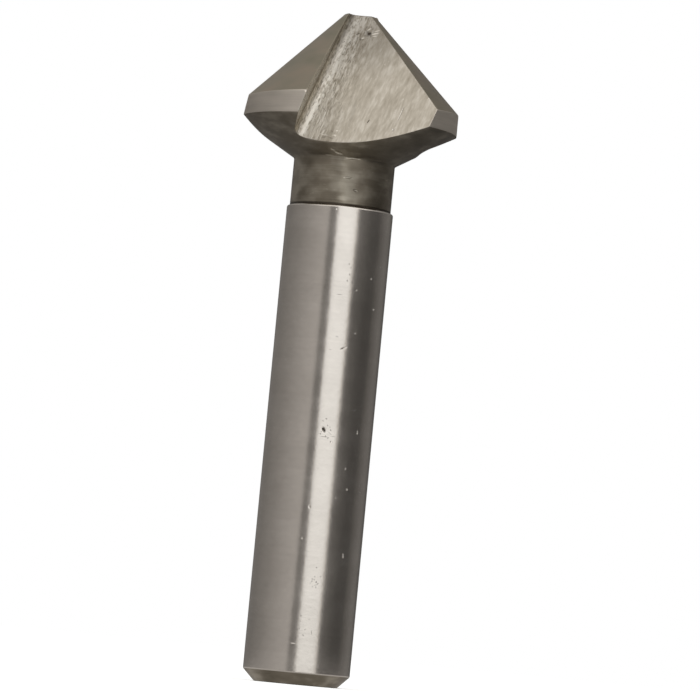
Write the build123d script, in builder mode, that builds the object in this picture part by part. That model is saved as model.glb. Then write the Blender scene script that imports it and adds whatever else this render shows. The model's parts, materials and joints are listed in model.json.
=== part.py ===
import math
import os

from build123d import *

# A three-flute countersink: one bar of steel, turned to its blank, relief ground on the
# cone and then fluted. Millimetres and degrees. The Z axis is the tool's own, from the
# centre of the shank's end face up to the tip, and bearings are measured from +X, turning
# towards +Y, which is the way the tool cuts.

# Shank and neck, from the end up; the whole tool comes to 63 long
shank_length = 44.6
shank_diameter = 10.0
end_chamfer = 1.1
shoulder_break = 0.2
neck_length = 4.5
neck_relief = 0.25  # the neck is this much under the shank, on the radius
neck_root_radius = 0.3

# Head
head_diameter = 20.5
tip_diameter = 3.5
point_angle = 90.0  # included angle that the tool cuts
land_length = 2.1  # the short cylinder at the widest place
back_angle = 59.0  # slope of the back of the head, from the axis

# Relief grind: each lobe's cone is ground on a centre shifted towards its cutting edge
relief_drop = 0.31  # fall along the axis from cutting edge to heel, at the rim
relief_lead = 40.0  # bearing of the shifted centre, ahead of the cutting edge

# Flutes, one of which opens towards -Y
flute_count = 3
tip_web = 0.5  # from the axis to a flute's floor, at the tip
floor_slope = 25.3  # flute floor to the axis
floor_bearing = -100.8
face_setback = 0.75  # cutting face behind the axis, at the tip
face_rake = 17.2  # cutting face to the axis
face_bearing = -4.0
flute_root_radius = 0.9

# Heights and radii that follow
shank_radius = shank_diameter / 2
neck_radius = shank_radius - neck_relief
head_radius = head_diameter / 2
tip_radius = tip_diameter / 2
cone_slope = math.tan(math.radians(point_angle / 2))
cone_height = (head_radius - tip_radius) / cone_slope
neck_top = shank_length + neck_length
land_bottom = neck_top + (head_radius - neck_radius) / math.tan(math.radians(back_angle))
land_top = land_bottom + land_length
overall_length = land_top + cone_height
grinding_stock = relief_drop  # left on the turned cone, so that the relief grind cleans it


def direction(bearing, rise=0.0):
    """Unit vector at a bearing round the axis, raised towards the tip."""
    level = math.cos(math.radians(rise))
    return Vector(
        level * math.cos(math.radians(bearing)),
        level * math.sin(math.radians(bearing)),
        math.sin(math.radians(rise)),
    )


def rim_bearing(distance):
    """Half angle that a flute plane, at this distance from the axis, cuts off the rim."""
    return math.degrees(math.acos(distance / head_radius))


# The flute's two ground planes: the floor leans back from the tip, and the cutting face
# leans over it, which gives the rake.
tip_centre = Vector(0, 0, overall_length)
floor_normal = direction(floor_bearing, floor_slope)
face_normal = direction(face_bearing, -face_rake)
floor_plane = Plane(tip_centre + direction(floor_bearing) * tip_web, z_dir=floor_normal)
face_plane = Plane(tip_centre - direction(face_bearing) * face_setback, z_dir=face_normal)
root_line = floor_plane.intersect(face_plane)
root_at_tip = root_line.intersect(Plane(tip_centre))
down_the_root = face_normal.cross(floor_normal)
flute_section = Plane(root_at_tip, x_dir=floor_normal.cross(down_the_root), z_dir=down_the_root)
flute_angle = 180 - floor_normal.get_angle(face_normal)
flute_reach = head_diameter  # past the rim on every side

# Where one lobe starts and ends, on the rim
face_depth = face_setback + cone_height * math.tan(math.radians(face_rake))
floor_depth = tip_web + cone_height * math.tan(math.radians(floor_slope))
cutting_edge = face_bearing - rim_bearing(-face_depth)
flute_end = floor_bearing + rim_bearing(floor_depth)
pitch = 360 / flute_count
lobe_angle = pitch - (flute_end - cutting_edge)

# The relief grind's own centre, and the cone on it that meets the rim at the cutting edge
lead_cosine = math.cos(math.radians(relief_lead))
heel_cosine = math.cos(math.radians(relief_lead + lobe_angle))
relief_shift = relief_drop * cone_slope / (lead_cosine - heel_cosine)
relief_centre = direction(cutting_edge + relief_lead) * relief_shift
relief_rim = math.hypot(
    head_radius - relief_shift * lead_cosine,
    relief_shift * math.sin(math.radians(relief_lead)),
)
relief_apex = land_top + relief_rim / cone_slope
relief_reach = head_diameter
relief_start = (cutting_edge + flute_end) / 2 - pitch  # from mid flute to mid flute
relief_side = direction(relief_start)
relief_section = Plane(relief_centre, x_dir=relief_side, z_dir=relief_side.cross(Vector(0, 0, 1)))

# One flute's ground space, a rounded V carried along its root
with BuildPart() as flute:
    with BuildSketch(flute_section) as flute_profile:
        with BuildLine():
            floor_end = Vector(flute_reach, 0)
            face_end = floor_end.rotate(Axis.Z, flute_angle)
            Polyline((0, 0), floor_end, floor_end + face_end, face_end, close=True)
        make_face()
        fillet(flute_profile.vertices().sort_by_distance((0, 0))[0], flute_root_radius)
    extrude(amount=flute_reach, both=True)

# What the relief grind clears outside one lobe's cone
with BuildPart() as relief:
    with BuildSketch(relief_section):
        with BuildLine():
            rim = (relief_reach, relief_apex - relief_reach / cone_slope)
            Polyline((0, relief_apex), rim, (relief_reach, relief_apex), close=True)
        make_face()
    revolve(axis=Axis(relief_centre, (0, 0, 1)), revolution_arc=pitch)

with BuildPart() as countersink_bit:
    # The turned blank
    with BuildSketch(Plane.XZ) as blank_profile:
        with BuildLine():
            Polyline(
                (0, 0),
                (shank_radius, 0),
                (shank_radius, shank_length),
                (neck_radius, shank_length),
                (neck_radius, neck_top),
                (head_radius, land_bottom),
                (head_radius, land_top + grinding_stock),
                (tip_radius + grinding_stock * cone_slope, overall_length),
                (0, overall_length),
                close=True,
            )
        make_face()
        chamfer(blank_profile.vertices().sort_by_distance((shank_radius, 0))[0], end_chamfer)
        shoulder = blank_profile.vertices().sort_by_distance((shank_radius, shank_length))[0]
        fillet(shoulder, min(shoulder_break, 0.9 * neck_relief))
        neck_root = blank_profile.vertices().sort_by_distance((neck_radius, neck_top))[0]
        fillet(neck_root, neck_root_radius)
    revolve(axis=Axis.Z)

    # Ground: the relief of each lobe, and then the flutes between them
    with PolarLocations(0, flute_count):
        add(relief.part, mode=Mode.SUBTRACT)
        add(flute.part, mode=Mode.SUBTRACT)

countersink_bit.part.label = "countersink_bit"
os.makedirs("parts", exist_ok=True)
export_step(countersink_bit.part, "parts/countersink_bit.step")
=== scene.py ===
import json
import math

import bpy
import numpy as np
from mathutils import Euler, Matrix, Vector


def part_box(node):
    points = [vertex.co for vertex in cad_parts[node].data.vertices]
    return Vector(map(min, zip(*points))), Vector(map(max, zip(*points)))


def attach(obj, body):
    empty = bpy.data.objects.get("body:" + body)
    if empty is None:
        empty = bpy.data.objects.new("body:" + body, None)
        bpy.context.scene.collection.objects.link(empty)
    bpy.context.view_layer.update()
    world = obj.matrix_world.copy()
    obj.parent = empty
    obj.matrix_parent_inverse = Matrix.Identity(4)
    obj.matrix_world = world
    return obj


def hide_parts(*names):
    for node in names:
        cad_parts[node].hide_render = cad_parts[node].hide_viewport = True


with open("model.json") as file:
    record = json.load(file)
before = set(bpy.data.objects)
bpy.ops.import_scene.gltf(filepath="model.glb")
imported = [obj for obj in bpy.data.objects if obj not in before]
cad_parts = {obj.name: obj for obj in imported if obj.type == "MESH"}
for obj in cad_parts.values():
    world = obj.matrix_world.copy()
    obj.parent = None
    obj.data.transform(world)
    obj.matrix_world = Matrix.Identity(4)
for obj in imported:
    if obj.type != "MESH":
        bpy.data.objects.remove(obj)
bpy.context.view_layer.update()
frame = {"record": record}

mm = 0.001

# A three flute countersink, ground from one bar. Everything is worked out in millimetres,
# with bearings in degrees from +X towards +Y, and goes into the mesh in metres.
# The steel has five finishes: the shank is centreless ground, the neck, the back of the head and
# the end are as turned, the cone is relief ground, the land is ground round, and the flutes are
# ground out coarsely.

bit = {
    "length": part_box("countersink_bit")[1].z / mm,
    "shankLength": 44.6,
    "shankRadius": frame["record"]["mounts"][0]["dims"]["r_mm"],
    "endChamfer": 1.1,
    "shoulderRound": 0.2,
    "neckLength": 4.5,
    "neckRadius": 4.75,
    "neckRound": 0.3,
    "headRadius": 10.25,
    "landLength": 2.1,
    "backAngle": 59.0,  # slope of the back of the head, from the axis
    "reliefDrop": 0.31,  # fall along the axis from cutting edge to heel, at the rim
    "reliefLead": 40.0,  # bearing of the relief's shifted centre, ahead of the cutting edge
    "flutes": 3,
    "tipWeb": 0.5,  # from the axis to a flute's floor, at the tip
    "floorSlope": 25.3,
    "floorBearing": -100.8,
    "faceSetback": 0.75,  # cutting face behind the axis, at the tip
    "faceRake": 17.2,
    "faceBearing": -4.0,
    "rootRadius": 0.9,
    "edge": 0.07,  # how far a ground edge is broken, which is what catches the light
}

# Rows and columns of the grid. A flute's share of the columns is a lobe, the cutting face, the
# rounded root and the floor.
grid = {
    "lobe": 27,
    "face": 11,
    "root": 10,
    "floor": 41,
    "coneRows": 46,
    "landRows": 14,
    "backRows": 22,
    "neckRoundRows": 7,
    "neckRows": 30,
    "shoulderRows": 8,
    "shankStep": 0.42,
    "endRows": 12,  # on the chamfer, and again on the end face
    "endMiddle": 0.3,  # radius of the last row of the end face
    "knockRows": 13,  # more rows for each knock, over this many times its size
    "knockReach": 1.2,
    "closest": 0.12,  # the most of a length that the lines beside an edge take up
    "tipBearing": -140,  # where a lobe's columns head for on the tip, and how far from the axis
    "tipReach": 1.3,
    "neckBearings": [-180, -165, -154, -140, -60],  # of the ends of the stretches, at the neck
}
hair = 1e-6  # room for rounding

# The columns where lobe, cutting face, root and floor end
lobeEnd = grid["lobe"] - 1
faceEnd = lobeEnd + grid["face"] - 1
rootEnd = faceEnd + grid["root"] - 1
floorEnd = rootEnd + grid["floor"] - 1
stops = [0, lobeEnd, faceEnd, rootEnd, floorEnd]


def along(bearing):
    # Unit vector at a bearing round the axis.
    angle = np.radians(bearing)
    return np.stack([np.cos(angle), np.sin(angle)], axis=-1)


def dot(a, b):
    # Sum of the products of two vectors' parts.
    return (a * b).sum(axis=-1)


def mix(a, b, t):
    # The first value plus a share of the way to the second.
    return a + (b - a) * t


def turned(points, bearing):
    # The points turned about the tool's axis.
    c, s = math.cos(math.radians(bearing)), math.sin(math.radians(bearing))
    return points @ np.array([[c, s, 0], [-s, c, 0], [0, 0, 1]])


def smooth(x, start, end):
    # Goes from 0 to 1 between two values, level at both: three times the square of the share of the
    # way, less twice its cube.
    t = np.clip((x - start) / (end - start), 0, 1)
    return t * t * (3 - 2 * t)


def arc(centre, radius, start, end, count):
    # Points of a profile, as radius and height, round part of a circle.
    return np.array(centre) + radius * along(np.linspace(start, end, count))


def spaced(lengths, count, ease):
    # Fractions from 0 to 1 with two lines close to each end, a fixed distance in, and the rest even.
    lengths = np.atleast_1d(np.asarray(lengths, float))[:, None]
    near = np.minimum(ease / lengths, grid["closest"])
    inner = mix(2 * near, 1 - 2 * near, np.linspace(0, 1, count - 4)[None, :])
    zero = np.zeros_like(near)
    return np.concatenate([zero, near, inner, 1 - near, 1 + zero], axis=1)


# Heights and slopes that follow from the sizes
tip = bit["length"]
neckTop = bit["shankLength"] + bit["neckLength"]
backSlope = math.tan(math.radians(bit["backAngle"]))
landBottom = neckTop + (bit["headRadius"] - bit["neckRadius"]) / backSlope
landTop = landBottom + bit["landLength"]
coneHeight = tip - landTop
pitch = 360 / bit["flutes"]
floorOut = along(bit["floorBearing"])
floorSide = along(bit["floorBearing"] + 90)
faceOut = along(bit["faceBearing"])
faceSide = along(bit["faceBearing"] - 90)
floorRise = math.tan(math.radians(bit["floorSlope"]))
faceRise = math.tan(math.radians(bit["faceRake"]))
# The back cone's radius is this plus its slope times the height
backStart = bit["neckRadius"] - backSlope * neckTop


def allRound(points):
    # One lobe and flute, repeated for every flute.
    return np.concatenate([turned(points, pitch * k) for k in range(bit["flutes"])], axis=-2)


def floorDistance(z):
    # The floor's plane is this far from the axis at a height: the web, plus its slope times the drop.
    return bit["tipWeb"] + floorRise * (tip - z)


def faceDistance(z):
    # The same for the cutting face, which lies behind the axis.
    return -bit["faceSetback"] - faceRise * (tip - z)


def lean(flat, rise):
    # A level direction raised by an angle, which gives a ground plane's normal.
    rise = math.radians(rise)
    return np.array([*(flat * math.cos(rise)), math.sin(rise)])


floorNormal = lean(floorOut, bit["floorSlope"])
faceNormal = lean(faceOut, -bit["faceRake"])
rootDown = np.cross(faceNormal, floorNormal)
rootDown /= np.linalg.norm(rootDown)
rootDown *= -np.sign(rootDown[2])

# The relief grind is a 45 degree cone on a centre of its own, shifted towards the cutting edge by as
# much as makes it fall by the relief's drop from there to the heel
cutBearing = bit["faceBearing"] - math.degrees(math.acos(faceDistance(landTop) / bit["headRadius"]))
heelBearing = bit["floorBearing"] + math.degrees(math.acos(floorDistance(landTop) / bit["headRadius"]))
leadCosine = math.cos(math.radians(bit["reliefLead"]))
heelCosine = math.cos(math.radians(bit["reliefLead"] + pitch - (heelBearing - cutBearing)))
reliefShift = bit["reliefDrop"] / (leadCosine - heelCosine)
reliefCentre = along(cutBearing + bit["reliefLead"]) * reliefShift
nextCentre = along(cutBearing + bit["reliefLead"] + pitch) * reliefShift
reliefApex = landTop + math.hypot(
    bit["headRadius"] - reliefShift * leadCosine,
    reliefShift * math.sin(math.radians(bit["reliefLead"])),
)


def reliefRadius(z, bearing):
    # Distance from the tool's axis to the relief cone: the ray meets a circle round the shifted centre.
    ray = along(bearing)
    ahead = dot(ray, reliefCentre)
    return ahead + np.sqrt((reliefApex - z) ** 2 - reliefShift**2 + ahead**2)


def reliefTop(bearing):
    # Height at which the relief cone comes out to the head's full radius.
    return reliefApex - np.linalg.norm(along(bearing) * bit["headRadius"] - reliefCentre, axis=-1)


def edgePoint(z, distance, out, side, centre):
    # Where a ground plane's level line leaves the head, on the relief cone or below it on the land.
    reach = np.maximum((reliefApex - z) ** 2 - (distance - dot(out, centre)) ** 2, 0)
    onCone = dot(side, centre) + np.sqrt(reach)
    onLand = np.sqrt(np.maximum(bit["headRadius"] ** 2 - distance**2, 0))
    step = np.minimum(onCone, onLand)
    flat = distance[..., None] * out + step[..., None] * side
    return np.concatenate([flat, z[..., None]], axis=-1)


def cuttingEdge(z):
    # Where the cutting face leaves the head, at a height.
    return edgePoint(z, faceDistance(z), faceOut, faceSide, reliefCentre)


def heelEdge(z):
    # Where the floor leaves the head, on the next lobe.
    return edgePoint(z, floorDistance(z), floorOut, floorSide, nextCentre)


def bearingOf(points):
    # The angle of each point round the axis, from +X.
    return np.degrees(np.arctan2(points[..., 1], points[..., 0]))


def quadratic(a, b, c, low, high):
    # The root of a x2 + b x + c that lies between two limits.
    root = np.sqrt(np.maximum(b * b - 4 * a * c, 0))
    first, second = (-b + root) / (2 * a), (-b - root) / (2 * a)
    return np.where((first >= low) & (first <= high), first, second)


def runToBack(start, direction):
    # How far a line runs down before it meets the cone at the back of the head.
    a = direction[0] ** 2 + direction[1] ** 2 - (backSlope * direction[2]) ** 2
    level = backStart + backSlope * start[:, 2]
    b = 2 * (start[:, 0] * direction[0] + start[:, 1] * direction[1] - backSlope * direction[2] * level)
    c = start[:, 0] ** 2 + start[:, 1] ** 2 - level**2
    return quadratic(a, b, c, 0, bit["length"])


def rootLines(fraction):
    # The rounded root is part of a cylinder that touches both ground planes. Each line on it is
    # given by where it starts, level with the tip, and how long it runs to the back of the head.
    normals = np.array([floorNormal, faceNormal, [0, 0, 1]])
    touch = [
        floorNormal @ np.array([*(floorOut * bit["tipWeb"]), tip]) + bit["rootRadius"],
        faceNormal @ np.array([*(-faceOut * bit["faceSetback"]), tip]) + bit["rootRadius"],
        tip,
    ]
    axisPoint = np.linalg.solve(normals, touch)
    sweep = math.acos(floorNormal @ faceNormal)
    fraction = np.asarray(fraction, float)[:, None]
    towards = np.sin((1 - fraction) * sweep) * -faceNormal + np.sin(fraction * sweep) * -floorNormal
    onLine = axisPoint + bit["rootRadius"] * towards / math.sin(sweep)
    start = onLine + rootDown * ((tip - onLine[:, 2]) / rootDown[2])[:, None]
    return start, runToBack(start, rootDown)


def coons(left, right, top, bottom, across, down):
    # A flat patch between four edges: the sides blended across plus the ends blended down, less the
    # corners counted twice. Every point stays in the plane of its edges.
    u, v = across[..., None], down[..., None]
    sides = mix(left, right, u)
    ends = mix(top, bottom, v)
    corners = mix(mix(left[:1], right[:1], u), mix(left[-1:], right[-1:], u), v)
    return sides + ends - corners


def flooredBack(side):
    # Height at which the floor's plane, this far along its level line, meets the back cone.
    m = bit["tipWeb"] + floorRise * tip
    a = floorRise**2 - backSlope**2
    b = -2 * (m * floorRise + backStart * backSlope)
    return quadratic(a, b, m**2 + side**2 - backStart**2, neckTop, landBottom + hair)


def headSector():
    # One lobe and the flute after it, from the tip down to the back of the head: rows go down,
    # columns go round. Returns the points and the number of the row at the land's upper edge.
    ease = bit["edge"]
    down = spaced([coneHeight], grid["coneRows"], ease)[0]
    below = spaced([bit["landLength"]], grid["landRows"], ease)[0][1:]

    topCut = np.array(landTop)
    topHeel = reliefTop(heelBearing - pitch)
    cutZ = np.concatenate([mix(tip, topCut, down), mix(topCut, landBottom, below)])
    heelZ = np.concatenate([mix(tip, topHeel, down), mix(topHeel, landBottom, below)])
    cut, heel = cuttingEdge(cutZ), heelEdge(heelZ)

    # The lobe: bearings blended from its heel to its cutting edge, radius from cone or land
    cutTurn, heelTurn = bearingOf(cut), bearingOf(heel) - pitch
    radius = np.linalg.norm(cut[:, :2], axis=1)
    share = spaced(np.radians(cutTurn - heelTurn) * radius, grid["lobe"], ease)
    turn = mix(heelTurn[:, None], cutTurn[:, None], share)
    rimTop = reliefTop(mix(heelTurn[len(down) - 1], cutTurn[len(down) - 1], share))
    coneZ = tip - down[:, None] * (tip - rimTop[: len(down)])
    landZ = mix(rimTop[len(down) :], landBottom, below[:, None])
    z = np.concatenate([coneZ, landZ])
    r = np.minimum(reliefRadius(z, turn), bit["headRadius"])
    r[len(down) - 1 :] = bit["headRadius"]
    lobe = np.concatenate([r[..., None] * along(turn), z[..., None]], axis=-1)

    # The rounded root between face and floor
    fall = (tip - cutZ) / (tip - landBottom)
    rootShare = np.linspace(0, 1, grid["root"])
    start, run = rootLines(rootShare)
    root = start[None] + rootDown * (run[None, :] * fall[:, None])[..., None]

    # The cutting face, flat, between the cutting edge and the root
    width = np.linalg.norm(root[:, 0] - cut, axis=1)
    share = spaced(width, grid["face"], ease)
    endZ = mix(landBottom, root[-1, 0, 2], share)
    endSide = np.sqrt((backStart + backSlope * endZ) ** 2 - faceDistance(endZ) ** 2)
    end = faceDistance(endZ)[..., None] * faceOut + endSide[..., None] * faceSide
    end = np.concatenate([end, endZ[..., None]], axis=-1)
    top = mix(cut[0], root[0, 0], share[..., None])
    face = coons(cut[:, None], root[:, :1], top, end, share, fall[:, None])

    # The floor, flat, between the root and the heel
    width = np.linalg.norm(heel - root[:, -1], axis=1)
    share = spaced(width, grid["floor"], ease)
    endSide = mix(root[-1, -1, :2] @ floorSide, heel[-1, :2] @ floorSide, share)
    endZ = flooredBack(endSide)
    end = floorDistance(endZ)[..., None] * floorOut + endSide[..., None] * floorSide
    end = np.concatenate([end, endZ[..., None]], axis=-1)
    top = mix(root[0, -1], heel[0], share[..., None])
    slide = mix(fall[:, None], ((tip - heelZ) / (tip - landBottom))[:, None], share)
    floor = coons(root[:, -1:], heel[:, None], top, end, share, slide)

    points = np.concatenate([lobe, face[:, 1:], root[:, 1:], floor[:, 1:-1]], axis=1)
    return points, len(down) - 1


# Bearings of the columns at the neck, and the round that leads from the back of the head into it
neckTurn = np.interp(np.arange(floorEnd), stops, grid["neckBearings"])
backLean = math.radians(bit["backAngle"])
neckRoundZ = neckTop - bit["neckRound"] * (1 - math.cos(backLean)) / math.sin(backLean)
neckRoundCentre = (bit["neckRadius"] + bit["neckRound"], neckRoundZ)
neckRound = arc(neckRoundCentre, bit["neckRound"], 180 - bit["backAngle"], 180, grid["neckRoundRows"])


def tipRows(outline):
    # The flat at the tip: two rows, one and two edge widths in from its outline. The columns of a
    # lobe and its cutting face head for one point, and along the root and the floor the point
    # moves to the axis and on to the next lobe's.
    column = np.arange(floorEnd)
    weight = np.interp(column, stops, [1, 1, 1, 0, 1])
    lobePoint = np.array([*(along(grid["tipBearing"]) * grid["tipReach"]), tip])
    nextPoint = turned(lobePoint[None], pitch)[0]
    towards = np.where((column > rootEnd)[:, None], nextPoint, lobePoint)
    axis = np.array([0, 0, tip])
    way = allRound(axis + (towards - axis) * weight[:, None]) - outline
    length = np.linalg.norm(way, axis=1)
    steps = (2 * bit["edge"], bit["edge"])
    return np.array([outline + way * (step / length)[:, None] for step in steps])


def backRows(outline):
    # The back of the head: bearings and heights run straight from the outline above to the neck, the
    # radius is the back cone's, and two rows lie close under the outline.
    outlineTurn = np.degrees(np.unwrap(np.radians(bearingOf(outline))))
    drop = outline[:, 2] - neckRound[0, 1]
    near = bit["edge"] * math.cos(backLean) / drop
    fractions = [near, 2 * near]
    fractions += [mix(2 * near, 1, step) for step in np.linspace(0, 1, grid["backRows"])[1:]]
    fractions = np.array(fractions)
    z = outline[:, 2] - drop * fractions
    r = backStart + backSlope * z
    turn = mix(outlineTurn, neckTurn, fractions)
    return allRound(np.concatenate([r[..., None] * along(turn), z[..., None]], axis=-1))


def shaftProfile():
    # Radius and height of what is round, from the neck down to the middle of the end, in its
    # stretches: the round under the head, the neck, the shoulder, the shank, the chamfer, the end.
    shank = bit["shankRadius"]
    shoulderRound = bit["shoulderRound"]
    shoulder = bit["shankLength"] - shoulderRound
    chamferTop = bit["endChamfer"]
    endRadius = shank - chamferTop
    neckDown = np.linspace(neckRoundZ, bit["shankLength"], grid["neckRows"])
    neck = np.stack([np.full(len(neckDown), bit["neckRadius"]), neckDown], axis=1)
    shoulderArc = arc((shank - shoulderRound, shoulder), shoulderRound, 90, 0, grid["shoulderRows"])
    shankRows = int(bit["shankLength"] / grid["shankStep"])
    shankDown = mix(shoulder, chamferTop, spaced([shoulder - chamferTop], shankRows, bit["edge"])[0])
    spread = np.linspace(-grid["knockReach"], grid["knockReach"], grid["knockRows"])
    for height, _, long, *_ in knocks:
        shankDown = np.concatenate([shankDown, height + long * spread])
    shankDown = np.unique(shankDown.round(3))[::-1]  # each height once, to a micrometre
    shankSide = np.stack([np.full(len(shankDown), shank), shankDown], axis=1)
    chamfer = spaced([chamferTop], grid["endRows"], bit["edge"])[0][:, None]
    chamfer = mix(np.array([shank, chamferTop]), np.array([endRadius, 0]), chamfer)
    end = spaced([endRadius - grid["endMiddle"]], grid["endRows"], bit["edge"])[0]
    end = np.stack([mix(endRadius, grid["endMiddle"], end), np.zeros(len(end))], axis=1)
    return [neckRound[1:], neck[1:], shoulderArc, shankSide[1:], chamfer[1:], end[1:]]


def spun(profile):
    # The profile turned round the axis, with bearings that even out down the neck.
    columns = floorEnd * bit["flutes"]
    above = np.concatenate([neckTurn + pitch * k for k in range(bit["flutes"])])
    even = above[0] + 360 * np.arange(columns) / columns
    turn = mix(even, above, smooth(profile[:, 1], bit["shankLength"], neckTop)[:, None])
    z = np.broadcast_to(profile[:, 1, None], turn.shape)
    return np.concatenate([profile[:, :1, None] * along(turn), z[..., None]], axis=-1)


def softened(points, rows, columns, around):
    # Breaks sharp edges: each point on one goes halfway to the mean of its neighbours across it.
    for row, part in rows:
        above, below = points[row - 1, part], points[row + 1, part]
        points[row, part] = 0.5 * points[row, part] + 0.25 * (above + below)
    for column in columns:
        before, after = points[:around, column - 1], points[:around, (column + 1) % points.shape[1]]
        points[:around, column] = 0.5 * points[:around, column] + 0.25 * (before + after)
    return points


def surfaceMark(flat, height, turn, long, wide, depth, tone, bare=0.0):
    # A mark: an ellipsoid on the surface with its x axis outwards, half its length up the tool and
    # half its width round it, both before the turn. A tone above 0 is brighter metal, and one below
    # is oil; a few broad marks use the same tone for painted light and painted shade. Bare is how much
    # oil a bright mark takes off.
    return {
        "at": (*(flat * mm).tolist(), height * mm),
        "turn": tuple(math.radians(angle) for angle in turn),
        "size": (1.0 * mm, wide * mm, long * mm),
        "depth": -depth,
        "tone": max(tone, 0),
        "oilAndShade": max(-tone, -bare * tone),
    }


def roundMark(radius, height, bearing, long, wide, tilt, depth, tone):
    # A mark on a round surface, tilted from the tool's own direction.
    return surfaceMark(along(bearing) * radius, height, (tilt, 0, bearing), long, wide, depth, tone)


# Knocks that are pressed into the mesh: height, bearing, half length, half width, tilt, depth
knocks = [
    (23.67, -85.3, 0.4, 0.22, 20, 0.04),
    (31.38, -72.4, 0.13, 0.4, 25, 0.02),
]


def sunk(points, mark):
    # Presses a mark into the mesh: its depth, times a shape that falls smoothly from 1 in the middle
    # to 0 at the mark's own half sizes, along the way that the mark faces.
    facing = np.array(Euler(mark["turn"]).to_matrix())
    away = np.linalg.norm((points * mm - mark["at"]) @ facing / mark["size"], axis=-1)
    return points + (smooth(away, 1, 0) * mark["depth"])[..., None] * facing[:, 0]


def cutterTravel(points, sector, headRows):
    # Millimetres square to the cutter's lines, at each face's corners: up the profile where the tool
    # was turned or ground round, and across the flute, from the root, where the wheel ran down it.
    columns = points.shape[1]
    level = np.stack([np.hypot(points[..., 0], points[..., 1]), points[..., 2]], axis=-1)
    up = np.linalg.norm(np.diff(level[::-1], axis=0), axis=-1).cumsum(axis=0)[::-1]
    up = np.concatenate([up, np.zeros((1, columns))])
    right = np.roll(up, -1, axis=1)
    travel = np.stack([up[:-1], up[1:], right[1:], right[:-1]], axis=-1)
    ring = np.concatenate([sector[:, lobeEnd:], turned(sector[:, :1], pitch)], axis=1)
    step = np.diff(ring, axis=1)
    step = step - dot(step, rootDown)[..., None] * rootDown
    over = np.linalg.norm(step, axis=-1).cumsum(axis=1)
    over = np.concatenate([np.zeros((len(over), 1)), over], axis=1)
    over = over - over[:, rootEnd - lobeEnd, None]
    flute = np.stack([over[:-1, :-1], over[1:, :-1], over[1:, 1:], over[:-1, 1:]], axis=-1)
    for start in range(0, columns, floorEnd):
        travel[headRows, start + lobeEnd : start + floorEnd] = flute
    return np.concatenate([travel.reshape(-1), up[0], up[-1]])


finishes = ["shank", "turned", "relief", "land", "flute"]


def makeBit():
    # The whole tool as one closed mesh: rows from the tip down to the end, columns round the axis.
    sector, rimRow = headSector()
    head = allRound(sector)
    cap = tipRows(head[0])
    back = backRows(sector[-1])
    profile = shaftProfile()
    points = np.concatenate([cap, head, back, spun(np.concatenate(profile))])
    columns = points.shape[1]

    # Sharp rows and columns, broken
    first = len(cap)
    lastHead = first + len(head) - 1
    roundStart = lastHead + len(back) + 1
    shankRow = roundStart + sum(len(part) for part in profile[:2]) - 1
    chamferRow = roundStart + sum(len(part) for part in profile[:4]) - 1
    endRow = chamferRow + len(profile[4])
    column = np.arange(columns) % floorEnd
    everywhere = np.ones(columns, bool)
    rows = [
        (first, everywhere),
        (first + rimRow, column <= lobeEnd),
        (lastHead, everywhere),
        (chamferRow, everywhere),
        (endRow, everywhere),
    ]
    edges = [start + edge for start in range(0, columns, floorEnd) for edge in (0, lobeEnd)]
    points = softened(points, rows, edges, lastHead + 1)
    for knock in knocks:
        points = sunk(points, roundMark(bit["shankRadius"], *knock, tone=0))

    # Faces: a quad between each pair of rows and columns, and a flat face to close each end
    number = np.arange(points.shape[0] * columns).reshape(points.shape[0], columns)
    across = np.roll(number, -1, axis=1)
    quads = np.stack([number[:-1], number[1:], across[1:], across[:-1]], axis=-1)
    finish = np.zeros(quads.shape[:2], int)
    finish[:first] = finishes.index("relief")
    finish[first:lastHead] = np.where(column < lobeEnd, finishes.index("relief"), finishes.index("flute"))
    finish[first + rimRow : lastHead, column < lobeEnd] = finishes.index("land")
    finish[lastHead:shankRow] = finishes.index("turned")
    finish[shankRow:chamferRow] = finishes.index("shank")
    finish[chamferRow:] = finishes.index("turned")
    faces = quads.reshape(-1, 4).tolist() + [number[0].tolist(), number[-1][::-1].tolist()]
    finish = [*finish.reshape(-1), finishes.index("relief"), finishes.index("turned")]
    travel = cutterTravel(points, sector, slice(first, lastHead))

    mesh = bpy.data.meshes.new("ground_bit")
    mesh.from_pydata((points.reshape(-1, 3) * mm).tolist(), [], faces)
    mesh.polygons.foreach_set("material_index", finish)
    mesh.attributes.new("travel", "FLOAT", "CORNER").data.foreach_set("value", travel)
    mesh.shade_smooth()
    mesh.update()
    piece = bpy.data.objects.new("ground_bit", mesh)
    bpy.context.scene.collection.objects.link(piece)
    return piece, points


groundBit, bitPoints = makeBit()
lowest, highest = bitPoints.min(axis=(0, 1)), bitPoints.max(axis=(0, 1))
print("bit", len(groundBit.data.polygons), "faces", lowest, highest)
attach(groundBit, "root")
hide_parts("countersink_bit")


def linearColour(code):
    # sRGB hex to linear, channel by channel.
    channels = np.array([int(code[i : i + 2], 16) for i in (1, 3, 5)]) / 255
    linear = np.where(channels <= 0.04045, channels / 12.92, ((channels + 0.055) / 1.055) ** 2.4)
    return (*linear.tolist(), 1.0)


def addNode(tree, kind, inputs=None, **settings):
    # One node: settings are its properties, and inputs take a value or another node's output.
    node = tree.nodes.new(kind)
    for name, value in settings.items():
        setattr(node, name, value)
    for name, value in (inputs or {}).items():
        if isinstance(value, bpy.types.NodeSocket):
            tree.links.new(value, node.inputs[name])
        else:
            node.inputs[name].default_value = value
    return node


def newMaterial(name):
    # A material with an empty node tree.
    material = bpy.data.materials.new(name)
    material.use_nodes = True
    material.node_tree.nodes.clear()
    return material, material.node_tree
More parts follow.
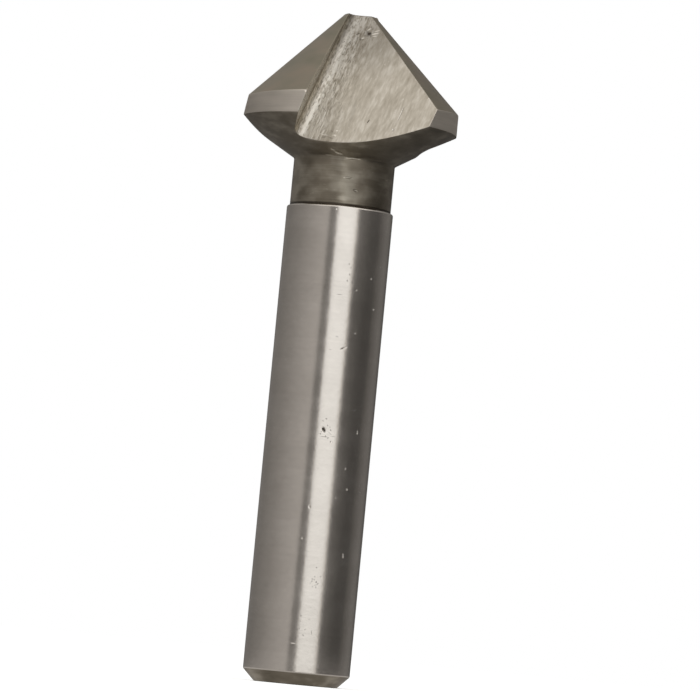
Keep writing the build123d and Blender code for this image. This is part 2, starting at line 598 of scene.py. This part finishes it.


# What each cut leaves on the steel. A pattern's width is square to the cutter's lines and its run is
# along them, both in millimetres. Clear gives the values of the noise that become -0.5 and 0.5, for
# clouds and lines, and fleck the ones that become 0 and 1. That, times depth, tone, dirt and rough,
# is added to the surface's height in millimetres, the colour, the oil on it and the roughness. Near
# keeps a pattern to one side: it gives the travel where it is full and where it ends, from the root.
# A band is the same without noise.
# Lines finer than a tenth of a millimetre are drawn about twice as coarse, so that they show.
# Besides oil, this colour is the painted shade of a few broad marks and of the ring at the shoulder.
oilAndShadeColour = "#3A332B"  # old oil and dust in a mark
middleTone = 0.5  # the tone of a cut's middle colour, between its dark one at 0 and its light one at 1
markCore = 0.3  # share of a mark's size that is at full strength, before it fades out
noiseDetail = 2.0  # octaves
cuts = {
    # Centreless ground: almost a mirror, with hair lines round it, a few clouded patches, and a slight
    # unevenness that roughens the edges of a highlight
    "centrelessGroundSteel": {
        "colours": ("#D3CDC5", "#E6E0D8", "#F8F2EA"),
        "rough": 0.2,
        "patterns": [
            {"width": 0.2, "run": 7, "clear": (0.3, 0.7), "depth": 0.0006, "tone": 0.1},
            {"width": 3.5, "run": 5, "clear": (0.3, 0.7), "tone": 0.35, "rough": 0.04},
            {"width": 0.6, "run": 0.6, "clear": (0.3, 0.7), "depth": 0.0035, "tone": 0.1},
            {
                "width": 0.18,
                "run": 0.45,
                "fleck": (0.72, 0.8),
                "depth": -0.003,
                "oilAndShade": 0.15,
                "rough": 0.1,
            },
        ],
    },
    # As turned: dull and brownish, with feed marks, clouds of old oil and light torn flecks
    "turnedSteel": {
        "colours": ("#746D5F", "#928A7C", "#C4BDAE"),
        "rough": 0.36,
        "patterns": [
            {"width": 0.13, "run": 5, "clear": (0.3, 0.7), "depth": 0.006, "tone": 0.1},
            {"width": 1.7, "run": 1.9, "clear": (0.3, 0.7), "depth": 0.003, "tone": 0.6, "rough": 0.04},
            {"width": 3.5, "run": 4, "clear": (0.3, 0.7), "tone": 0.25},
            {"width": 0.16, "run": 0.9, "fleck": (0.7, 0.8), "depth": 0.008, "tone": 0.8},
        ],
    },
    # Relief ground: an even satin cone, faintly stained green and brown by the coolant
    "reliefGroundSteel": {
        "colours": ("#B4B09B", "#C1B9A6", "#CEC0AD"),
        "rough": 0.35,
        "patterns": [
            {"width": 0.2, "run": 6, "clear": (0.3, 0.7), "depth": 0.0012, "tone": 0.1},
            {"width": 2.6, "run": 3.0, "clear": (0.3, 0.7), "tone": 0.7, "rough": 0.03},
        ],
    },
    # Ground round the outside: satin, with hair lines round it
    "landGroundSteel": {
        "colours": ("#C8C2B8", "#DFD8CD", "#F2EBE0"),
        "rough": 0.48,
        "patterns": [
            {"width": 0.2, "run": 5, "clear": (0.3, 0.7), "depth": 0.001, "tone": 0.2},
            {"width": 1.6, "run": 3, "clear": (0.3, 0.7), "tone": 0.3, "rough": 0.03},
        ],
    },
    # Flute ground: a coarse wheel leaves bright and dark streaks down the flute and torn specks,
    # most of all near the root. The cutting face is smoother and darker, and the wheel's corner
    # leaves a bright, mottled strip along the root
    "fluteGroundSteel": {
        "colours": ("#8F8777", "#C2BBAD", "#F0EBE0"),
        "rough": 0.4,
        "patterns": [
            {"width": 0.22, "run": 0.8, "clear": (0.3, 0.7), "depth": 0.006, "tone": 0.28, "rough": 0.05},
            {"width": 0.6, "run": 2.6, "clear": (0.3, 0.7), "depth": 0.008, "tone": 0.28, "rough": 0.08},
            {"width": 2.2, "run": 2.6, "clear": (0.3, 0.7), "tone": 0.25},
            {"width": 0.18, "run": 0.4, "fleck": (0.7, 0.8), "depth": -0.01, "oilAndShade": 0.3},
            {"width": 0.14, "run": 0.5, "fleck": (0.7, 0.78), "depth": 0.01, "tone": 0.5},
            {
                "near": (0.6, 2.6),
                "width": 0.15,
                "run": 0.7,
                "clear": (0.35, 0.65),
                "depth": 0.012,
                "tone": 0.6,
            },
            {
                "near": (0.6, 3.4),
                "width": 0.16,
                "run": 0.3,
                "fleck": (0.6, 0.7),
                "depth": -0.012,
                "oilAndShade": 0.35,
            },
            {
                "near": (0.3, 1.0),
                "width": 0.2,
                "run": 0.35,
                "clear": (0.3, 0.7),
                "depth": 0.012,
                "tone": 0.7,
            },
        ],
        "bands": [
            # The cutting face: darker and smoother.
            {"near": (-1.6, -1.3), "tone": -0.65, "rough": -0.25},
            {"near": (-1.0, -0.75), "tone": -0.2},
            {"near": (0.2, 0.7), "tone": 0.2, "rough": 0.05},
            {"near": (0.4, 2.2), "tone": 0.14},
        ],
    },
}


def addTo(tree, sums, shape, amounts):
    # Adds a shape, times its amount, to the running sum of each quantity.
    for quantity in sums:
        if amounts.get(quantity):
            values = {0: shape, 1: amounts[quantity], 2: sums[quantity]}
            sums[quantity] = addNode(tree, "ShaderNodeMath", values, operation="MULTIPLY_ADD").outputs[0]


def nearTravel(tree, travel, full, none):
    # 1 up to one value of the travel, and 0 from another on.
    values = {"Value": travel, "From Min": none, "From Max": full}
    return addNode(tree, "ShaderNodeMapRange", values).outputs[0]


def cutSteel(name, marks=()):
    # Steel as one cutter leaves it. The noise has four dimensions: the object's own place, divided by
    # the run, and the travel square to the lines, divided by the width, so it follows the cut.
    cut = cuts[name]
    material, tree = newMaterial(name)
    place = addNode(tree, "ShaderNodeTexCoord").outputs["Object"]
    travel = addNode(tree, "ShaderNodeAttribute", attribute_name="travel").outputs["Fac"]
    sums = {"depth": 0.0, "tone": middleTone, "oilAndShade": 0.0, "rough": cut["rough"]}
    for pattern in cut["patterns"]:
        scale = [1 / (pattern["run"] * mm)] * 3
        run = addNode(tree, "ShaderNodeMapping", {"Vector": place, "Scale": scale})
        lines = addNode(tree, "ShaderNodeMath", {0: travel, 1: pattern["width"]}, operation="DIVIDE")
        noise = addNode(
            tree,
            "ShaderNodeTexNoise",
            {"Vector": run.outputs[0], "W": lines.outputs[0], "Scale": 1.0, "Detail": noiseDetail},
            noise_dimensions="4D",
        )
        low, high = pattern.get("clear") or pattern["fleck"]
        least, most = (-0.5, 0.5) if "clear" in pattern else (0.0, 1.0)
        values = {"From Min": low, "From Max": high, "To Min": least, "To Max": most}
        shape = addNode(tree, "ShaderNodeMapRange", {"Value": noise.outputs[0], **values}).outputs[0]
        if "near" in pattern:
            fade = nearTravel(tree, travel, *pattern["near"])
            shape = addNode(tree, "ShaderNodeMath", {0: shape, 1: fade}, operation="MULTIPLY").outputs[0]
        addTo(tree, sums, shape, pattern)
    for band in cut.get("bands", []):
        addTo(tree, sums, nearTravel(tree, travel, *band["near"]), band)
    for mark in marks:
        near = addNode(
            tree,
            "ShaderNodeMapping",
            {"Vector": place, "Location": mark["at"], "Rotation": mark["turn"], "Scale": mark["size"]},
            vector_type="TEXTURE",
        )
        away = addNode(tree, "ShaderNodeVectorMath", {0: near.outputs[0]}, operation="LENGTH")
        shape = addNode(
            tree,
            "ShaderNodeMapRange",
            {"Value": away.outputs["Value"], "From Min": 1.0, "From Max": markCore},
            interpolation_type="SMOOTHSTEP",
        )
        addTo(tree, sums, shape.outputs[0], mark)
    colour = addNode(tree, "ShaderNodeValToRGB", {"Fac": sums["tone"]})
    ramp = colour.color_ramp.elements
    ramp.new(middleTone)
    for stop, code in zip(ramp, cut["colours"]):
        stop.color = linearColour(code)
    values = {"Fac": sums["oilAndShade"], "Color1": colour.outputs[0], "Color2": linearColour(oilAndShadeColour)}
    oiled = addNode(tree, "ShaderNodeMixRGB", values)
    bump = addNode(tree, "ShaderNodeBump", {"Height": sums["depth"], "Distance": mm})
    values = {"Base Color": oiled.outputs[0], "Metallic": 1.0, "Roughness": sums["rough"]}
    shader = addNode(tree, "ShaderNodeBsdfPrincipled", {**values, "Normal": bump.outputs[0]})
    addNode(tree, "ShaderNodeOutputMaterial", {"Surface": shader.outputs[0]})
    return material


def shadeRing(height, half, oilAndShade):
    # A dark ring that runs all the way round the tool: painted shade.
    return {"at": (0, 0, height * mm), "turn": (0, 0, 0), "size": (1, 1, half * mm), "oilAndShade": oilAndShade}


floorBare = 0.35  # how much of the flute's oil a bright scratch takes off


def floorMark(height, side, long, wide, tilt, depth, tone):
    # A mark on the front flute's floor, by its height and how far it is to the side.
    flat = floorDistance(height) * floorOut + side * floorSide
    turn = (tilt, -bit["floorSlope"], bit["floorBearing"])
    return surfaceMark(flat, height, turn, long, wide, depth, tone, floorBare)


# Knocks, scratches and oil from use, with a few broad marks that paint light and shade or only make an
# area lighter or darker: height, bearing, half length, half width, tilt, depth, tone. On
# the floor, the distance to the side stands for the bearing. Marks without depth are only colour.
shankMarks = [
    (23.67, -85.3, 0.36, 0.17, 20, 0.03, -0.85),
    (24.7, -83.5, 0.07, 0.07, 0, 0.04, 0.6),
    (24.47, -87.3, 0.1, 0.09, 0, 0.02, 0.3),
    (23.03, -84.0, 0.05, 0.5, 0, 0, -0.5),
    (23.13, -74.5, 0.05, 0.3, 0, 0, -0.3),
    (23.4, -78.5, 0.05, 0.34, -35, 0, -0.3),
    (22.61, -75.9, 0.12, 0.14, 0, 0.02, 0.4),
    (36.3, -82.2, 0.05, 0.36, 0, 0, -0.4),
    (31.3, -74.5, 0.06, 0.22, 25, 0, -0.6),
    (31.4, -71.5, 0.07, 0.34, 25, 0.05, 0.6),
    (32.39, -80.5, 0.07, 0.2, -15, 0, -0.3),
    (38.91, -72.4, 0.16, 0.1, 0, 0, -0.2),
    (36.85, -64.2, 0.08, 0.16, 30, 0.08, 0.6),
    (35.33, -38.3, 0.1, 0.2, 0, 0.1, 0.6),
    (32.87, -60.9, 0.07, 0.12, 0, 0.05, 0.6),
    (38.12, -46.1, 0.13, 0.07, -20, 0.05, 0.3),
    (20.3, -57.2, 0.12, 0.12, 0, 0.1, 0.8),
    (23.77, -45.4, 0.2, 0.1, 0, 0.09, 0.7),
    (12.26, -49.4, 0.24, 0.12, 10, 0.12, 0.9),
    (18.4, -52.7, 0.12, 0.14, 0, 0.1, 0.8),
    (17.5, -65.5, 0.1, 0.1, 0, 0.08, 0.8),
    (13.53, -97.0, 0.12, 0.12, 0, 0.06, 0.8),
    (16.44, -92.5, 0.18, 0.14, 20, 0.03, 0.3),
    (10.93, -79.0, 0.08, 0.08, 0, 0, -0.7),
    (6.36, -90.7, 0.1, 0.09, 0, 0, -0.5),
    (4.63, -86.7, 0.12, 0.08, 0, 0, -0.4),
    (4.93, -77.9, 0.3, 0.05, 10, 0, -0.5),
    (3.81, -96.2, 0.06, 0.3, 0, 0.02, 0.4),
    (44.19, -93.3, 0.08, 0.1, 0, 0.02, 0.5),
]
# Peppered patches on the shank: height, bearing, half height, half width in degrees, and specks
shankPatches = [
    (38.4, -73.0, 0.9, 4.0, 5),
    (23.5, -83.5, 0.9, 6.0, 10),
    (9.6, -78.5, 0.6, 7.0, 14),
    (6.0, -87.0, 1.6, 6.0, 6),
]
neckMarks = [
    (49.66, -102.0, 0.1, 0.3, -8, 0.04, 0.8),
    (49.42, -97.0, 0.13, 0.5, -12, 0.05, 1.2),
    (49.05, -81.0, 0.12, 0.85, 0, 0.06, 1.4),
    (49.2, -108.0, 0.08, 0.5, 0, 0.03, 0.6),
    (47.21, -84.4, 0.12, 0.5, 0, 0.05, 1.2),
    (46.1, -74.6, 0.12, 0.28, 0, 0.05, 1.0),
    (45.3, -88.0, 0.35, 0.9, 0, 0.01, 0.25),
    # Painted shade: a broad dark mark over the front of the neck that dims its highlight.
    (46.9, -76.0, 3.6, 1.4, 0, 0.0, -0.4),
    # Painted light: a broad light mark that brightens the left side of the neck.
    (46.9, -158.0, 3.6, 2.0, 0, 0.0, 0.35),
]
landMarks = [
    # Darker over a broad patch on the front of the land.
    (56.9, -20.0, 2.4, 5.0, 0, 0.0, -0.3),
    # A raised bump at the cutting corner that catches the light, with a painted highlight in its colour.
    (landTop - 0.1, cutBearing - 0.6, 0.16, 0.16, 0, 0.06, 1.5),
]
floorMarks = [
    (61.26, 1.36, 0.32, 0.4, 0, 0.003, -0.24),
    (61.18, 1.5, 0.3, 0.32, 0, 0.003, -0.28),
    (61.45, 1.2, 0.32, 0.16, 35, 0, -0.14),
    (61.0, 1.2, 0.16, 0.46, -15, 0, -0.16),
    (61.26, 2.0, 0.1, 0.46, 18, 0.008, 0.8),
    (61.02, 2.0, 0.08, 0.28, 8, 0.008, 0.6),
    (61.56, 2.15, 0.07, 0.36, 22, 0, 0.6),
    (61.66, 1.36, 0.08, 0.3, 40, 0, 0.5),
    (60.6, 0.7, 0.2, 0.16, 20, 0, -0.3),
    (60.75, 0.95, 0.08, 0.2, 20, 0, 0.7),
    (59.9, -0.85, 2.4, 0.34, -12, 0, 0.3),
    (54.9, -1.3, 1.9, 0.5, -13, 0, 0.35),
    # Darker over the whole upper floor, towards the tip.
    (63.2, 0.6, 9.0, 9.0, 0, 0.0, -0.42),
    # Painted light: a broad light mark over the lower floor beside the root.
    (51.6, -1.9, 2.4, 1.1, -13, 0.0, 0.4),
    # Painted highlight: a bright streak along the root at its lower end.
    (52.6, -2.6, 2.6, 0.2, -13, 0.0, 0.9),
    (53.2, 1.3, 2.3, 0.26, -4, 0.0, -0.14),
    (53.5, 5.8, 1.1, 0.07, -12, 0.03, 0.5),
    (51.83, 5.36, 0.16, 0.12, 0, 0.04, 0.6),
    (50.85, -0.8, 0.1, 0.5, -6, 0.02, 0.5),
    (50.9, 0.0, 0.09, 0.3, 6, 0, 0.45),
    (51.2, -1.1, 0.3, 0.08, -20, 0, 0.7),
    (50.95, -1.3, 0.08, 0.2, 30, 0, 0.8),
    (50.64, -0.95, 0.08, 0.3, 10, 0, -0.45),
    (50.6, -0.3, 0.08, 0.34, -10, 0, -0.4),
    (50.86, 0.05, 0.16, 0.08, 30, 0, 0.8),
    (51.25, -0.3, 0.2, 0.08, 30, 0, -0.35),
    (51.35, 0.15, 0.09, 0.16, 0, 0, 0.6),
    (52.5, 2.9, 0.3, 0.07, -22, 0.03, -0.7),
]
# The specks in a patch: half width, how many times longer they are, tilt, and how much oil
speck = {"seed": 3, "wide": (0.05, 0.09), "longer": 1.6, "tilt": 60, "oil": (0.3, 0.55)}
scatter = np.random.default_rng(speck["seed"])
least = [-1, -1, speck["wide"][0], -speck["tilt"], -speck["oil"][1]]
most = [1, 1, speck["wide"][1], speck["tilt"], -speck["oil"][0]]
for height, bearing, halfHeight, halfTurn, count in shankPatches:
    for up, aside, wide, tilt, tone in scatter.uniform(least, most, (count, len(least))):
        place = (height + halfHeight * up, bearing + halfTurn * aside)
        shankMarks.append((*place, wide * speck["longer"], wide, tilt, 0, tone))

# The neck's highest marks are on the back of the head, and a dark ring of painted shade lies in the
# corner at the shoulder
neckReach = [max(bit["neckRadius"], backStart + backSlope * mark[0]) for mark in neckMarks]
neckSpots = [roundMark(radius, *mark) for radius, mark in zip(neckReach, neckMarks)]
# Painted shade: a dark ring in the corner where the neck meets the shoulder.
neckSpots.append(shadeRing(bit["shankLength"] + 0.06, 0.22, 0.9))
shankSpots = [roundMark(bit["shankRadius"], *mark) for mark in shankMarks]
landSpots = [roundMark(bit["headRadius"], *mark) for mark in landMarks]
floorSpots = [floorMark(*mark) for mark in floorMarks]
groundBit.data.materials.append(cutSteel("centrelessGroundSteel", shankSpots))
groundBit.data.materials.append(cutSteel("turnedSteel", neckSpots))
groundBit.data.materials.append(cutSteel("reliefGroundSteel"))
groundBit.data.materials.append(cutSteel("landGroundSteel", landSpots))
groundBit.data.materials.append(cutSteel("fluteGroundSteel", floorSpots))
print("materials", len(bpy.data.materials), "with", len(shankMarks), "marks on the shank")

# The camera stands in front of the target, at a distance in metres, and looks at the aim beside it
camera = {
    "distance": 0.4285,
    "elevation": -3.76,
    "roll": 5.4,
    "aim": (2.163 * mm, 0, 31.586 * mm),
    "target": (0, 0, 31.5 * mm),
    "pixelsPerMm": 10.6755,  # at the target
    "frameWidth": 700,
    "sensor": 36.0,
    "nearest": 0.01,
}


def makeCamera():
    # Aimed and rolled, with the lens that gives so many pixels to a millimetre at the target.
    rise = math.radians(camera["elevation"])
    place = Vector(camera["target"]) + camera["distance"] * Vector((0, -math.cos(rise), math.sin(rise)))
    data = bpy.data.cameras.new("camera")
    data.sensor_width = camera["sensor"]
    focal = camera["pixelsPerMm"] * camera["distance"] / mm
    data.lens = focal / camera["frameWidth"] * camera["sensor"]
    data.clip_start = camera["nearest"]
    made = bpy.data.objects.new("camera", data)
    ahead = (Vector(camera["aim"]) - place).to_track_quat("-Z", "Y").to_matrix().to_4x4()
    roll = Matrix.Rotation(math.radians(camera["roll"]), 4, "Z")
    made.matrix_world = Matrix.Translation(place) @ ahead @ roll
    bpy.context.scene.collection.objects.link(made)
    bpy.context.scene.camera = made


makeCamera()
print("camera")

# The studio: a white world, a pale floor, one soft lamp, and grey cards round the tool that only its
# reflections see. Sizes are in metres. Angles on the cards are from the front, positive to the right.
studio = {
    "worldLevel": 0.85,
    "lampPlace": (-0.22, -0.42, 0.62),
    "lampSize": 0.4,
    "lampEnergy": 0.6,
    "floorReach": 2.0,
    "floorLines": 9,
    "floorColour": "#E9E9E7",
    "floorLift": 0.4,  # how much lighter the floor is to the camera
    "cardColour": "#FFFAF6",
}
# The tent: part of a sphere, open in front where the white world shows. Its wall has a level at each
# angle, and above it the roof is a big soft light in front and grey behind.
tent = {
    "radius": 0.3,
    "centre": 0.03,
    "rise": (-8, 89),
    "rows": 98,
    "columns": 420,
    "wall": [
        (36, 1.0),
        (42.5, 0.12),
        (50, 0.11),
        (62, 0.09),
        (76, 0.067),
        (95, 0.066),
        (110, 0.12),
        (128, 0.155),
        (140, 0.155),
        (155, 0.09),
        (185, 0.12),
        (203, 0.175),
        (232, 0.18),
        (271, 0.24),
        (300, 0.32),
        (331, 0.4),
        (338, 0.41),
        (340, 0.16),
        (355, 0.17),
        (357, 1.0),
    ],
    "roof": [
        (36, 1.0),
        (60, 1.0),
        (80, 0.4),
        (110, 0.25),
        (140, 0.2),
        (185, 0.15),
        (205, 0.31),
        (280, 0.31),
        (305, 0.77),
        (357, 0.77),
    ],
    "roofFrom": 14,  # rise where the wall starts to turn into the roof, and where it is all roof
    "roofFull": 26,
}
# The card on the floor under the tool: grey close in, and like the wall further out
underCard = {
    "height": 0.05 * mm,
    "reach": 0.29,
    "frontReach": 0.012,
    "rows": 24,
    "columns": 361,
    "level": 0.4,
    "levelEnds": 0.015,
    "wallStarts": 0.04,
}


def gridMesh(name, points):
    # A sheet of quads from rows and columns of points.
    rows, columns = points.shape[:2]
    number = np.arange(rows * columns).reshape(rows, columns)
    quads = np.stack([number[:-1, :-1], number[1:, :-1], number[1:, 1:], number[:-1, 1:]], axis=-1)
    mesh = bpy.data.meshes.new(name)
    mesh.from_pydata(points.reshape(-1, 3).tolist(), [], quads.reshape(-1, 4).tolist())
    made = bpy.data.objects.new(name, mesh)
    bpy.context.scene.collection.objects.link(made)
    return made


def cardMaterial():
    # Glows at the level that the card's mesh gives.
    material, tree = newMaterial("greyCard")
    level = addNode(tree, "ShaderNodeAttribute", attribute_name="level")
    warm = linearColour(studio["cardColour"])
    glow = addNode(tree, "ShaderNodeEmission", {"Color": warm, "Strength": level.outputs["Fac"]})
    addNode(tree, "ShaderNodeOutputMaterial", {"Surface": glow.outputs[0]})
    return material


def makeCard(name, points, level, material):
    # A card with a level at each point, which only reflections see.
    made = gridMesh(name, points)
    values = made.data.attributes.new("level", "FLOAT", "POINT")
    values.data.foreach_set("value", level.reshape(-1))
    made.data.materials.append(material)
    made.visible_camera = False
    made.visible_diffuse = False
    made.visible_transmission = False
    made.visible_shadow = False


def levelAt(angle, levels):
    # The level at an angle, straight between the given ones.
    return np.interp(angle, *np.array(levels).T)


def makeCards():
    # The tent, by angle and rise, and the card under the tool, by angle and distance.
    material = cardMaterial()
    angle = np.linspace(tent["wall"][0][0], tent["wall"][-1][0], tent["columns"])[None, :]
    rise = np.linspace(*tent["rise"], tent["rows"])[:, None]
    roofShare = smooth(rise, tent["roofFrom"], tent["roofFull"])
    level = mix(levelAt(angle, tent["wall"]), levelAt(angle, tent["roof"]), roofShare)
    a, r = np.radians(angle), np.radians(rise)
    way = np.stack(np.broadcast_arrays(np.sin(a) * np.cos(r), -np.cos(a) * np.cos(r), np.sin(r)), axis=-1)
    makeCard("tent", way * tent["radius"] + np.array([0, 0, tent["centre"]]), level, material)

    angle = np.linspace(0, 360, underCard["columns"])[None, :]
    gap = (angle < tent["wall"][0][0]) | (angle > tent["wall"][-1][0])
    reach = np.where(gap, underCard["frontReach"], underCard["reach"])
    out = np.linspace(0.0, 1.0, underCard["rows"])[:, None]
    a = np.radians(angle)
    x, y = out * reach * np.sin(a), -out * reach * np.cos(a)
    points = np.stack([x, y, np.full_like(x, underCard["height"])], axis=-1)
    wallShare = smooth(np.hypot(x, y), underCard["levelEnds"], underCard["wallStarts"])
    level = mix(underCard["level"], levelAt(angle, tent["wall"]), wallShare)
    makeCard("underCard", points, level, material)


def makeFloor():
    # Pale paint, and a glow for the camera alone that brings it to white.
    reach = np.linspace(-studio["floorReach"], studio["floorReach"], studio["floorLines"])
    y, x = np.meshgrid(reach, reach, indexing="ij")
    floor = gridMesh("floor", np.stack([x, y, np.zeros_like(x)], axis=-1)[::-1])
    material, tree = newMaterial("floorPaint")
    paint = addNode(tree, "ShaderNodeBsdfDiffuse", {"Color": linearColour(studio["floorColour"])})
    rays = addNode(tree, "ShaderNodeLightPath")
    values = {0: rays.outputs["Is Camera Ray"], 1: studio["floorLift"]}
    lift = addNode(tree, "ShaderNodeMath", values, operation="MULTIPLY")
    glow = addNode(tree, "ShaderNodeEmission", {"Color": (1, 1, 1, 1), "Strength": lift.outputs[0]})
    both = addNode(tree, "ShaderNodeAddShader", {0: paint.outputs[0], 1: glow.outputs[0]})
    addNode(tree, "ShaderNodeOutputMaterial", {"Surface": both.outputs[0]})
    floor.data.materials.append(material)


def makeLamp():
    # A softbox from the upper left, aimed at the middle of the floor.
    data = bpy.data.lights.new("softbox", "AREA")
    data.shape = "SQUARE"
    data.size = studio["lampSize"]
    data.energy = studio["lampEnergy"]
    lamp = bpy.data.objects.new("softbox", data)
    place = Vector(studio["lampPlace"])
    lamp.matrix_world = Matrix.Translation(place) @ (-place).to_track_quat("-Z", "Y").to_matrix().to_4x4()
    bpy.context.scene.collection.objects.link(lamp)


def makeWorld():
    # White to the camera and to reflections, and a little less as light.
    world = bpy.data.worlds.new("studio")
    bpy.context.scene.world = world
    world.use_nodes = True
    tree = world.node_tree
    tree.nodes.clear()
    rays = addNode(tree, "ShaderNodeLightPath")
    values = {0: rays.outputs["Is Camera Ray"], 1: rays.outputs["Is Glossy Ray"]}
    seen = addNode(tree, "ShaderNodeMath", values, operation="MAXIMUM")
    values = {0: seen.outputs[0], 1: rays.outputs["Is Transmission Ray"]}
    seen = addNode(tree, "ShaderNodeMath", values, operation="MAXIMUM")
    colour = (1, 1, 1, 1)
    plain = addNode(tree, "ShaderNodeBackground", {"Color": colour, "Strength": studio["worldLevel"]})
    white = addNode(tree, "ShaderNodeBackground", {"Color": colour, "Strength": 1.0})
    values = {0: seen.outputs[0], 1: plain.outputs[0], 2: white.outputs[0]}
    both = addNode(tree, "ShaderNodeMixShader", values)
    addNode(tree, "ShaderNodeOutputWorld", {"Surface": both.outputs[0]})


makeCards()
makeFloor()
makeLamp()
makeWorld()
print("studio")
bpy.context.scene.view_settings.view_transform = "Standard"
